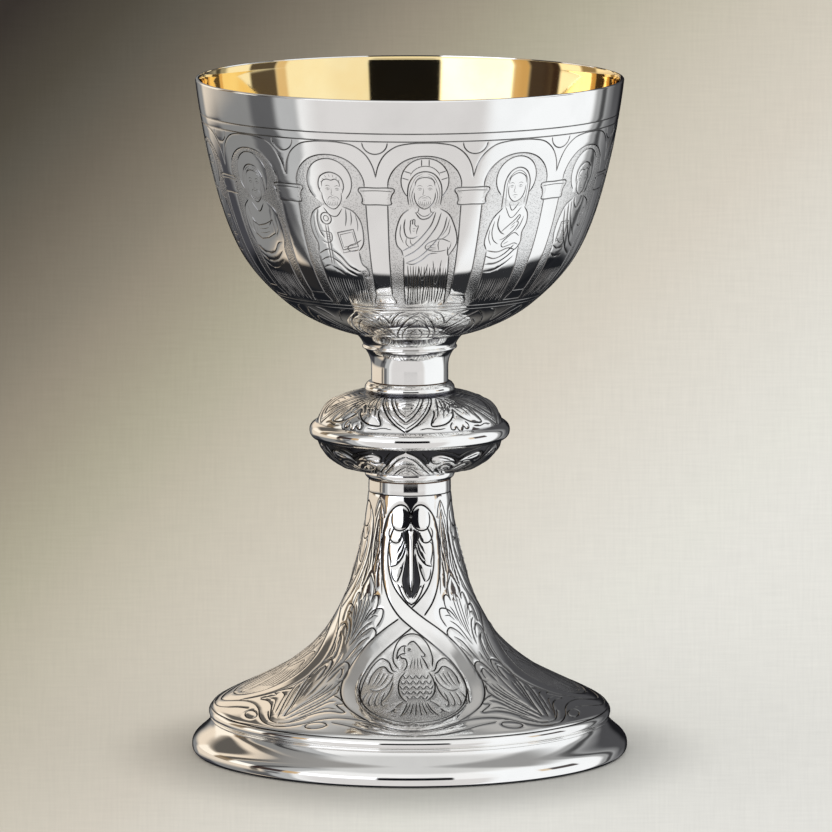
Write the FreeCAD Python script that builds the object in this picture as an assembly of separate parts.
import FreeCAD, Part
import math
import os

# Communion chalice, screwed together on a central tie rod.
# Frame: origin on the axis at the table plane, +Z up, millimetres.
# Every piece is a body of revolution about Z unless its comment says otherwise.
# Profiles are drawn in the XZ half-plane as (radius, height).

# ---------------------------------------------------------------- driving sizes
HEIGHT = 200.0            # table to lip
CUP_WALL = 0.85           # spun silver cup
GILT_WALL = 0.25          # gilt inner lining
FOOT_WALL = 0.9           # raised foot
BASE_WALL = 1.3           # base moulding
KNOP_WALL = 0.8           # knop shells

# Radii
BOSS_SEAT_R = 9.0         # flat pad under the cup for the boss
NECK_R = 11.4
KNOP_FLAT_R = 13.2        # flat centre of each knop shell
RIB_R = 29.6
STEM_TOP_R = 12.15
ROD_R = 3.0               # M6 tie rod
ROD_CLEAR_R = 3.15        # clearance holes for the rod
SHELL_HOLE_R = ROD_CLEAR_R + 0.3
CORE_BORE_R = ROD_CLEAR_R + 0.1
WASHER_BORE_R = ROD_CLEAR_R + 0.05
GASKET_BORE_R = 3.6

# Heights, from the cup down to the base
CUP_FLAT_Z = 123.4
ROD_TOP_Z = 122.6
COLLAR_BOTTOM_Z = 121.0
RING_TOP_Z = 110.1        # ring above the knop
SLEEVE_BOTTOM_Z = RING_TOP_Z + 0.3      # on the neck gasket
KNOP_TOP_Z = 107.0
RIB_TOP_Z = 98.3
RIB_BOTTOM_Z = 93.2
KNOP_BOTTOM_Z = 83.9
SEAT_RING_BOTTOM_Z = 81.4
STEM_TOP_Z = 81.0
ROD_END_Z = 66.0
FOOT_BOTTOM_Z = 10.4
STEP_BOTTOM_Z = 9.4

# ---------------------------------------------------------------- outlines
# Each point is (radius, height) on the outside surface.

# Cup, from the flat pad to the lip.
CUP_PTS = [
    (BOSS_SEAT_R, CUP_FLAT_Z), (12.5, 123.72), (15.9, 124.42), (19.3, 125.32),
    (22.5, 126.35), (26.9, 128.15), (30.6, 130.05), (33.8, 132.05), (38.75, 136.0),
    (42.9, 140.0), (46.35, 144.0), (49.1, 148.0), (51.25, 152.0), (53.0, 156.0),
    (54.5, 160.0), (55.8, 164.0), (56.95, 168.0), (58.0, 172.0), (58.95, 176.0),
    (59.85, 180.0), (60.62, 184.0), (61.32, 188.0), (61.97, 192.0), (62.55, 196.0),
    (63.0, 199.55),
]

# Trumpet foot, from the stem down to the rounded shoulder.
FOOT_PTS = [
    (STEM_TOP_R, STEM_TOP_Z), (12.27, 77.5), (12.72, 73.5), (13.35, 69.0),
    (14.1, 64.5), (15.15, 59.5), (16.5, 54.5), (18.25, 49.0), (20.25, 44.2),
    (22.45, 40.0), (25.15, 36.0), (28.75, 32.0), (33.35, 28.0), (38.9, 24.1),
    (45.3, 20.5), (50.3, 18.05), (54.3, 16.15), (57.3, 14.55), (58.85, 13.4),
    (59.5, 12.1),
]

# Ogee base moulding, from the table edge up to the step.
BASE_PTS = [
    (63.75, 0.0), (64.3, 0.6), (64.52, 1.7), (64.45, 2.9), (63.95, 4.0),
    (62.9, 5.15), (61.5, 6.35), (60.2, 7.6), (59.3, 8.7), (58.9, STEP_BOTTOM_Z),
]

# Upper knop shell, from the top face out to the girdle.
KNOP_UP_PTS = [
    (KNOP_FLAT_R, KNOP_TOP_Z), (15.8, 106.78), (18.5, 106.2), (21.5, 105.05),
    (24.0, 103.4), (25.9, 101.4), (27.0, 99.6), (27.45, RIB_TOP_Z),
]

# Lower knop shell, from the girdle in to the lower ring.
KNOP_LOW_PTS = [
    (27.35, RIB_BOTTOM_Z), (26.95, 91.7), (26.0, 89.9), (24.5, 88.0),
    (22.2, 86.2), (19.4, 84.95), (16.4, 84.2), (KNOP_FLAT_R, KNOP_BOTTOM_Z),
]

# Girdle between the shells, from bottom to top.
RIB_PTS = [
    (27.75, RIB_BOTTOM_Z), (28.75, 93.75), (29.42, 94.7), (RIB_R, 95.75),
    (29.4, 96.8), (28.7, 97.7), (27.85, RIB_TOP_Z),
]

# Neck sleeve, from the top of the straight tube out through the cove.
SLEEVE_COVE_PTS = [
    (NECK_R, 114.0), (NECK_R + 0.02, 115.2), (11.62, 116.6), (12.15, 118.1),
    (12.95, 119.45), (13.55, 120.1),
]


# ---------------------------------------------------------------- helpers
def vector(point):
    return FreeCAD.Vector(point[0], 0, point[1])


def polyline(*points):
    """Straight edges through the points, left open."""
    return [Part.makeLine(vector(a), vector(b)) for a, b in zip(points, points[1:])]


def curve(points):
    bspline = Part.BSplineCurve()
    bspline.interpolate([vector(p) for p in points])
    return bspline


def spline(points):
    return curve(points).toShape()


def arc(start, middle, end):
    return Part.Arc(vector(start), vector(middle), vector(end)).toShape()


def offset(points, distance):
    """The same profile moved by distance along its left-hand normal, as points."""
    profile = curve(points)
    moved = []
    for p in points:
        tangent = profile.tangent(profile.parameter(vector(p)))[0]
        normal = FreeCAD.Vector(-tangent.z, 0, tangent.x)
        normal.normalize()
        moved.append((p[0] + normal.x * distance, p[1] + normal.z * distance))
    return moved


def turn(edges):
    """Solid of revolution about Z of a closed loop of edges in the XZ half-plane."""
    face = Part.Face(Part.Wire(edges))
    solid = face.revolve(FreeCAD.Vector(0, 0, 0), FreeCAD.Vector(0, 0, 1), 360)
    if solid.ShapeType != "Solid":
        solid = solid.Solids[0]
    # The sense of the loop decides which way the faces point.
    if solid.Volume < 0:
        solid.reverse()
    return solid


def turn_polygon(*points):
    return turn(polyline(*points, points[0]))


def ring(r_in, r_out, z_low, z_high):
    return turn_polygon((r_in, z_low), (r_out, z_low), (r_out, z_high), (r_in, z_high))


# ---------------------------------------------------------------- cup group
CUP_FLOOR_Z = CUP_FLAT_Z + CUP_WALL
GILT_FLOOR_Z = CUP_FLOOR_Z + GILT_WALL
GILT_RISE = 0.2           # lining top above the last point of the cup's inner curve
LIP_ROUND = 0.4           # radial width of the rounded outer lip edge
LIP_STEP = 0.02           # radial step between the lip flat and the inner curve

CUP_IN = offset(CUP_PTS, CUP_WALL)
CUP_IN[0] = (BOSS_SEAT_R - 0.15, CUP_FLOOR_Z)
CUP_IN[-1] = (CUP_IN[-1][0], CUP_PTS[-1][1])


def cup_shell():
    """Spun cup: flat pad, round belly and a lip with a narrow flat top for a paten."""
    lip_out = CUP_PTS[-1]
    lip_in = CUP_IN[-1]
    flat_out = (lip_out[0] - LIP_ROUND, HEIGHT)
    return turn([
        *polyline((0, CUP_FLAT_Z), CUP_PTS[0]),
        spline(CUP_PTS),
        arc(lip_out, (lip_out[0] - 0.12, HEIGHT - 0.13), flat_out),
        *polyline(flat_out, (lip_in[0] + LIP_STEP, HEIGHT), lip_in),
        spline(CUP_IN[::-1]),
        *polyline(CUP_IN[0], (0, CUP_FLOOR_Z), (0, CUP_FLAT_Z)),
    ])


def gilt_lining():
    """Lining over the whole inside of the cup up to the lip."""
    lip_r, lip_z = CUP_IN[-1]
    gilt_in = offset(CUP_IN, GILT_WALL)
    gilt_in[0] = (CUP_IN[0][0] - 0.05, GILT_FLOOR_Z)
    gilt_in[-1] = (lip_r - GILT_WALL, lip_z + GILT_RISE)
    return turn([
        *polyline((0, CUP_FLOOR_Z), CUP_IN[0]),
        spline(CUP_IN),
        *polyline(CUP_IN[-1], gilt_in[-1]),
        spline(gilt_in[::-1]),
        *polyline(gilt_in[0], (0, GILT_FLOOR_Z), (0, CUP_FLOOR_Z)),
    ])


def cup_boss():
    """Turned boss brazed to the pad under the cup; the tie rod is screwed into it."""
    outer_r = 6.2
    bottom_z = 111.2
    flange_r = BOSS_SEAT_R - 0.3
    return turn_polygon(
        (0, CUP_FLAT_Z), (0, ROD_TOP_Z), (ROD_R, ROD_TOP_Z), (ROD_R, bottom_z),
        (outer_r, bottom_z), (outer_r, 120.6), (flange_r, 121.9), (flange_r, CUP_FLAT_Z),
    )


def cup_underside_z(radius):
    """Height of the cup's outside at a radius under the belly, by bisection."""
    profile = curve(CUP_PTS)
    low = profile.FirstParameter
    high = profile.parameter(vector((26.9, 128.15)))
    for _ in range(60):
        middle = (low + high) / 2
        if profile.value(middle).x < radius:
            low = middle
        else:
            high = middle
    return profile.value((low + high) / 2).z


def cup_collar():
    """Flared collar soldered under the cup; its top edge follows the underside."""
    solder_gap = 0.02
    top_out_r = 15.85
    top_in_r = 14.75
    outer = [
        (13.55, COLLAR_BOTTOM_Z), (13.85, 121.7), (14.35, 122.6), (15.05, 123.5),
        (top_out_r, cup_underside_z(top_out_r) - solder_gap),
    ]
    top_in = (top_in_r, cup_underside_z(top_in_r) - solder_gap)
    return turn([
        spline(outer),
        *polyline(outer[-1], top_in, (13.4, 122.3), (12.55, COLLAR_BOTTOM_Z), outer[0]),
    ])


def neck_sleeve():
    """Plain tube above the knop that coves out to a small ridge."""
    bottom_out = (NECK_R, SLEEVE_BOTTOM_Z)
    ridge_top = (13.6, COLLAR_BOTTOM_Z)
    bore_r = 10.4
    floor_hole_r = 6.25
    floor_top_z = 112.4
    return turn([
        *polyline(bottom_out, SLEEVE_COVE_PTS[0]),
        spline(SLEEVE_COVE_PTS),
        arc(SLEEVE_COVE_PTS[-1], (14.0, 120.55), ridge_top),
        *polyline(
            ridge_top, (12.0, COLLAR_BOTTOM_Z), (bore_r, 117.0), (bore_r, floor_top_z),
            (floor_hole_r, floor_top_z), (floor_hole_r, SLEEVE_BOTTOM_Z), bottom_out,
        ),
    ])


# ---------------------------------------------------------------- tie rod
ROD_PITCH = 1.0
THREAD_DEPTH = 0.35
THREAD_LIMIT_Z = 82.0     # every groove ends below this height
ROD_TIP_R = ROD_R - 0.9
ROD_TIP_H = 0.6           # height of the tapered tip


def tie_rod():
    """M6 rod from the boss down through neck, knop and stem.

    The thread is cut as closed grooves at the pitch over the nut end."""
    root_r = ROD_R - THREAD_DEPTH
    z = ROD_END_Z + ROD_TIP_H
    points = [(0, ROD_END_Z), (ROD_TIP_R, ROD_END_Z), (root_r, z)]
    while z + ROD_PITCH < THREAD_LIMIT_Z:
        points += [
            (ROD_R, z + 0.35 * ROD_PITCH),
            (ROD_R, z + 0.6 * ROD_PITCH),
            (root_r, z + ROD_PITCH),
        ]
        z += ROD_PITCH
    points += [(ROD_R, z + 0.4), (ROD_R, ROD_TOP_Z), (0, ROD_TOP_Z)]
    return turn_polygon(*points)


# ---------------------------------------------------------------- knop group
KNOP_CEILING_Z = KNOP_TOP_Z - KNOP_WALL
KNOP_FLOOR_Z = KNOP_BOTTOM_Z + KNOP_WALL
KNOP_FLAT_IN_R = KNOP_FLAT_R - 0.05
CORE_R = 5.0


def neck_gasket():
    """Leather washer between the neck sleeve and the ring above the knop."""
    return ring(GASKET_BORE_R, 10.6, RING_TOP_Z, SLEEVE_BOTTOM_Z)


def neck_ring():
    """Turned ring above the knop, with a rounded outer edge and a rod hole."""
    bottom = (12.75, KNOP_TOP_Z)
    shoulder = (12.75, 109.45)
    top = (11.6, RING_TOP_Z)
    return turn([
        *polyline((ROD_CLEAR_R, KNOP_TOP_Z), bottom),
        arc(bottom, (13.3, 108.2), shoulder),
        arc(shoulder, (12.25, 109.95), top),
        *polyline(top, (ROD_CLEAR_R, RING_TOP_Z), (ROD_CLEAR_R, KNOP_TOP_Z)),
    ])


def knop_upper_shell():
    """Chased sheet shell with a flat centre that bears on the core tube."""
    inner = offset(KNOP_UP_PTS, -KNOP_WALL)
    inner[0] = (KNOP_FLAT_IN_R, KNOP_CEILING_Z)
    inner[-1] = (inner[-1][0], RIB_TOP_Z)
    hole_top = (SHELL_HOLE_R, KNOP_TOP_Z)
    return turn([
        *polyline(hole_top, KNOP_UP_PTS[0]),
        spline(KNOP_UP_PTS),
        *polyline(KNOP_UP_PTS[-1], inner[-1]),
        spline(inner[::-1]),
        *polyline(inner[0], (SHELL_HOLE_R, KNOP_CEILING_Z), hole_top),
    ])


def knop_lower_shell():
    """Lower counterpart of the upper shell."""
    inner = offset(KNOP_LOW_PTS, -KNOP_WALL)
    inner[0] = (inner[0][0], RIB_BOTTOM_Z)
    inner[-1] = (KNOP_FLAT_IN_R, KNOP_FLOOR_Z)
    return turn([
        spline(KNOP_LOW_PTS),
        *polyline(
            KNOP_LOW_PTS[-1], (SHELL_HOLE_R, KNOP_BOTTOM_Z),
            (SHELL_HOLE_R, KNOP_FLOOR_Z), inner[-1],
        ),
        spline(inner[::-1]),
        *polyline(inner[0], KNOP_LOW_PTS[0]),
    ])


def knop_midrib():
    """Half-round girdle soldered between the two shells."""
    bore_r = 26.0
    return turn([
        *polyline((bore_r, RIB_BOTTOM_Z), RIB_PTS[0]),
        spline(RIB_PTS),
        *polyline(RIB_PTS[-1], (bore_r, RIB_TOP_Z), (bore_r, RIB_BOTTOM_Z)),
    ])


def knop_core_tube():
    """Tube that carries the clamping load between the two shells."""
    return ring(CORE_BORE_R, CORE_R, KNOP_FLOOR_Z, KNOP_CEILING_Z)


def knop_seat_ring():
    """Turned ring under the knop."""
    bottom = (12.35, SEAT_RING_BOTTOM_Z)
    top = (13.15, KNOP_BOTTOM_Z)
    hole_bottom = (ROD_CLEAR_R, SEAT_RING_BOTTOM_Z)
    return turn([
        *polyline(hole_bottom, bottom),
        arc(bottom, (13.15, 82.25), top),
        *polyline(top, (ROD_CLEAR_R, KNOP_BOTTOM_Z), hole_bottom),
    ])


# ---------------------------------------------------------------- foot group
THROAT_BOTTOM_Z = STEM_TOP_Z - 2.5

FOOT_IN = offset(FOOT_PTS, -FOOT_WALL)
FOOT_IN[0] = (FOOT_IN[0][0], STEM_TOP_Z)


def stem_gasket():
    """Leather washer between the lower ring and the top of the stem."""
    return ring(GASKET_BORE_R, 11.6, STEM_TOP_Z, SEAT_RING_BOTTOM_Z)


def foot_shell():
    """Raised trumpet foot with a rounded shoulder and a short turned-in edge."""
    edge_in_r = 57.0
    edge_h = 0.8
    edge_out = (58.9, FOOT_BOTTOM_Z)
    return turn([
        spline(FOOT_PTS),
        spline([FOOT_PTS[-1], (59.5, 11.3), (59.3, 10.75), edge_out]),
        *polyline(
            edge_out, (edge_in_r, FOOT_BOTTOM_Z), (edge_in_r, FOOT_BOTTOM_Z + edge_h),
            FOOT_IN[-1],
        ),
        spline(FOOT_IN[::-1]),
        *polyline(FOOT_IN[0], FOOT_PTS[0]),
    ])


def throat_plate():
    """Plate brazed inside the top of the stem; the nut pulls against it."""
    braze_gap = 0.03
    return ring(ROD_CLEAR_R, FOOT_IN[0][0] - braze_gap, THROAT_BOTTOM_Z, STEM_TOP_Z)


def foot_step_wire():
    """Thin half-round wire between the foot and the base moulding."""
    bore_r = 56.8
    bottom = (58.75, STEP_BOTTOM_Z)
    top = (58.75, FOOT_BOTTOM_Z)
    return turn([
        *polyline((bore_r, STEP_BOTTOM_Z), bottom),
        arc(bottom, (59.2, 9.9), top),
        *polyline(top, (bore_r, FOOT_BOTTOM_Z), (bore_r, STEP_BOTTOM_Z)),
    ])


def base_ring():
    """Ogee base moulding, hollow underneath."""
    inner = offset(BASE_PTS, BASE_WALL)
    inner[0] = (BASE_PTS[0][0] - BASE_WALL, 0.0)
    inner[1] = (63.0, 0.9)
    inner[-1] = (57.5, STEP_BOTTOM_Z)
    return turn([
        spline(BASE_PTS),
        *polyline(BASE_PTS[-1], inner[-1]),
        spline(inner[::-1]),
        *polyline(inner[0], BASE_PTS[0]),
    ])


def seat_band():
    """Band soldered inside the base edge; it stands on the table with the edge."""
    return ring(60.6, 62.4, 0.0, 1.5)


# ---------------------------------------------------------------- clamp group
# Stacked on the tie rod below the throat plate, reached from under the foot.
WASHER_BOTTOM_Z = THROAT_BOTTOM_Z - 1.2
SPRING_T = 1.2
SPRING_BOTTOM_Z = WASHER_BOTTOM_Z - SPRING_T
NUT_AF = 10.0             # M6 hexagon across flats
NUT_H = 5.0
NUT_BORE_R = 3.05
NUT_CHAMFER_H = 0.5


def clamp_washer():
    return ring(WASHER_BORE_R, 8.0, WASHER_BOTTOM_Z, THROAT_BOTTOM_Z)


def spring_washer():
    """Ring split on its +X side by a slot tilted about X."""
    washer = ring(WASHER_BORE_R, 5.4, SPRING_BOTTOM_Z, WASHER_BOTTOM_Z)
    slot_w = 0.8
    slot_start = FreeCAD.Vector(2.5, -slot_w / 2, SPRING_BOTTOM_Z - 0.5)
    slot = Part.makeBox(4.0, slot_w, 3.0, slot_start)
    pivot = FreeCAD.Vector(4.0, 0, SPRING_BOTTOM_Z + SPRING_T / 2)
    slot.rotate(pivot, FreeCAD.Vector(1, 0, 0), 25)
    return washer.cut(slot)


def clamp_nut():
    """Hexagon nut, chamfered by a turned envelope and bored for the rod."""
    top = SPRING_BOTTOM_Z
    bottom = top - NUT_H
    corner_r = NUT_AF / 2 / math.cos(math.radians(30))
    angles = [math.radians(60 * i) for i in range(7)]
    corners = [
        FreeCAD.Vector(corner_r * math.cos(a), corner_r * math.sin(a), bottom)
        for a in angles
    ]
    nut = Part.Face(Part.makePolygon(corners)).extrude(FreeCAD.Vector(0, 0, NUT_H))
    face_r = NUT_AF / 2 + 0.05
    side_r = corner_r + 0.05
    envelope = turn_polygon(
        (0, bottom), (face_r, bottom), (side_r, bottom + NUT_CHAMFER_H),
        (side_r, top - NUT_CHAMFER_H), (face_r, top), (0, top),
    )
    return nut.common(envelope).cut(ring(0, NUT_BORE_R, bottom - 1, top + 1))


# ---------------------------------------------------------------- export
# Each piece is written under the name of its function.
PIECES = [
    cup_shell, gilt_lining, cup_boss, cup_collar, neck_sleeve, tie_rod,
    neck_gasket, neck_ring, knop_upper_shell, knop_lower_shell, knop_midrib,
    knop_core_tube, knop_seat_ring, stem_gasket, foot_shell, throat_plate,
    foot_step_wire, base_ring, seat_band, clamp_washer, spring_washer, clamp_nut,
]

os.makedirs("parts", exist_ok=True)
for piece in PIECES:
    piece().exportStep(os.path.join("parts", piece.__name__ + ".step"))
